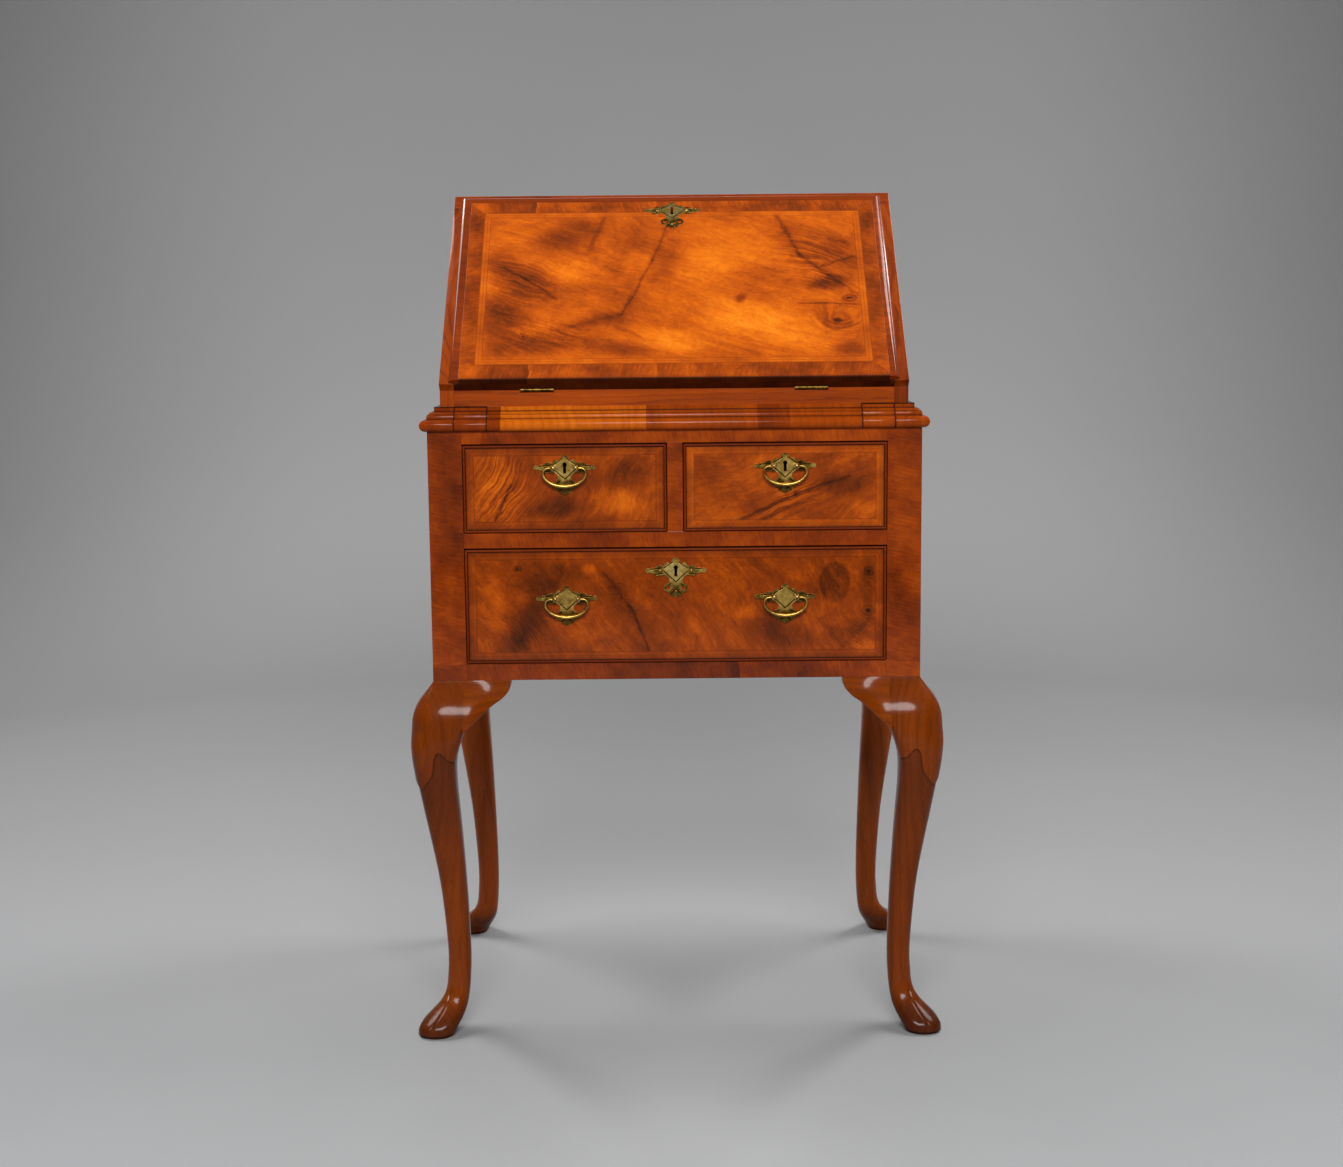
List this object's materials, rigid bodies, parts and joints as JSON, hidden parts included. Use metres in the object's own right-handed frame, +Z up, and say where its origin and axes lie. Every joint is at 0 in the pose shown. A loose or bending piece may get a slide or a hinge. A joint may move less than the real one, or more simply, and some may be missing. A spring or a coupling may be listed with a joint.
{
  "type": "escritoire",
  "caption": "Walnut slant-front writing desk on cabriole legs, with a hinged fall resting on pull-out lopers, an inner pigeonhole nest, and drawers with brass plates and bail handles.",
  "frame": {"origin": "on the floor, under the middle of the bounding box", "axes": "+Z up, front with the drawers and the fall towards -Y, +X to the right seen from the front"},
  "size_m": [0.6306, 0.4426, 1.0098],
  "materials": {
    "figured_walnut": "polished figured veneer",
    "banded_walnut": "polished cross-grain banding",
    "solid_walnut": "polished",
    "oak_lining": "dry, unpolished",
    "aged_brass": "aged, rubbed bright",
    "lock_iron": "dark, oiled"
  },
  "bodies": {
    "desk": {"case_left_side": "solid_walnut", "case_right_side": "solid_walnut", "case_back": "oak_lining", "case_bottom": "oak_lining", "case_top": "oak_lining", "dust_board": "oak_lining", "front_stiles": "banded_walnut", "top_rail": "banded_walnut", "middle_rail": "banded_walnut", "bottom_rail": "banded_walnut", "drawer_divider": "banded_walnut", "drawer_guides": "oak_lining", "front_left_leg": "solid_walnut", "front_right_leg": "solid_walnut", "back_left_leg": "solid_walnut", "back_right_leg": "solid_walnut", "knee_brackets": "solid_walnut", "desk_left_side": "solid_walnut", "desk_right_side": "solid_walnut", "desk_top": "solid_walnut", "desk_back": "oak_lining", "writing_board": "solid_walnut", "desk_front_rail": "solid_walnut", "loper_guides": "oak_lining", "waist_moulding": "banded_walnut", "hinge_desk_leaves": "aged_brass", "hinge_pins": "aged_brass", "pigeonhole_shelf": "solid_walnut", "pigeonhole_dividers": "solid_walnut"},
    "fall": {"fall_front": "figured_walnut", "fall_lipping": "banded_walnut", "fall_escutcheon": "aged_brass", "fall_lock": "lock_iron", "hinge_fall_leaves": "aged_brass"},
    "left_loper": {"left_loper": "banded_walnut"},
    "right_loper": {"right_loper": "banded_walnut"},
    "left_nest_drawer": {"left_nest_drawer": "solid_walnut", "left_nest_knob": "aged_brass"},
    "right_nest_drawer": {"right_nest_drawer": "solid_walnut", "right_nest_knob": "aged_brass"},
    "left_drawer": {"left_drawer_front": "figured_walnut", "left_drawer_box": "oak_lining", "left_drawer_bead": "solid_walnut", "left_drawer_lock": "lock_iron", "left_drawer_plate": "aged_brass"},
    "right_drawer": {"right_drawer_front": "figured_walnut", "right_drawer_box": "oak_lining", "right_drawer_bead": "solid_walnut", "right_drawer_lock": "lock_iron", "right_drawer_plate": "aged_brass"},
    "long_drawer": {"long_drawer_front": "figured_walnut", "long_drawer_box": "oak_lining", "long_drawer_bead": "solid_walnut", "long_drawer_lock": "lock_iron", "long_drawer_plates": "aged_brass", "long_drawer_escutcheon": "aged_brass"},
    "left_drawer_bail": {"left_drawer_bail": "aged_brass"},
    "right_drawer_bail": {"right_drawer_bail": "aged_brass"},
    "long_drawer_left_bail": {"long_drawer_left_bail": "aged_brass"},
    "long_drawer_right_bail": {"long_drawer_right_bail": "aged_brass"}
  },
  "joints": [
    {"name": "fall_hinge", "type": "hinge", "parent": "desk", "child": "fall", "pos_m": [0, -0.1795, 0.7738], "axis": [1, 0, 0], "range_deg": [0, 135]},
    {"name": "left_loper_slide", "type": "slide", "parent": "desk", "child": "left_loper", "axis": [0, -1, 0], "range_m": [0, 0.23]},
    {"name": "right_loper_slide", "type": "slide", "parent": "desk", "child": "right_loper", "axis": [0, -1, 0], "range_m": [0, 0.23]},
    {"name": "left_nest_drawer_slide", "type": "slide", "parent": "desk", "child": "left_nest_drawer", "axis": [0, -1, 0], "range_m": [0, 0.11]},
    {"name": "right_nest_drawer_slide", "type": "slide", "parent": "desk", "child": "right_nest_drawer", "axis": [0, -1, 0], "range_m": [0, 0.11]},
    {"name": "left_drawer_slide", "type": "slide", "parent": "desk", "child": "left_drawer", "axis": [0, -1, 0], "range_m": [0, 0.29]},
    {"name": "right_drawer_slide", "type": "slide", "parent": "desk", "child": "right_drawer", "axis": [0, -1, 0], "range_m": [0, 0.29]},
    {"name": "long_drawer_slide", "type": "slide", "parent": "desk", "child": "long_drawer", "axis": [0, -1, 0], "range_m": [0, 0.29]},
    {"name": "left_drawer_bail_swing", "type": "hinge", "parent": "left_drawer", "child": "left_drawer_bail", "pos_m": [-0.1285, -0.2015, 0.684], "axis": [-1, 0, 0], "range_deg": [0, 100]},
    {"name": "right_drawer_bail_swing", "type": "hinge", "parent": "right_drawer", "child": "right_drawer_bail", "pos_m": [0.1285, -0.2015, 0.684], "axis": [-1, 0, 0], "range_deg": [0, 100]},
    {"name": "long_drawer_left_bail_swing", "type": "hinge", "parent": "long_drawer", "child": "long_drawer_left_bail", "pos_m": [-0.1285, -0.2015, 0.53], "axis": [-1, 0, 0], "range_deg": [0, 100]},
    {"name": "long_drawer_right_bail_swing", "type": "hinge", "parent": "long_drawer", "child": "long_drawer_right_bail", "pos_m": [0.1285, -0.2015, 0.53], "axis": [-1, 0, 0], "range_deg": [0, 100]}
  ]
}
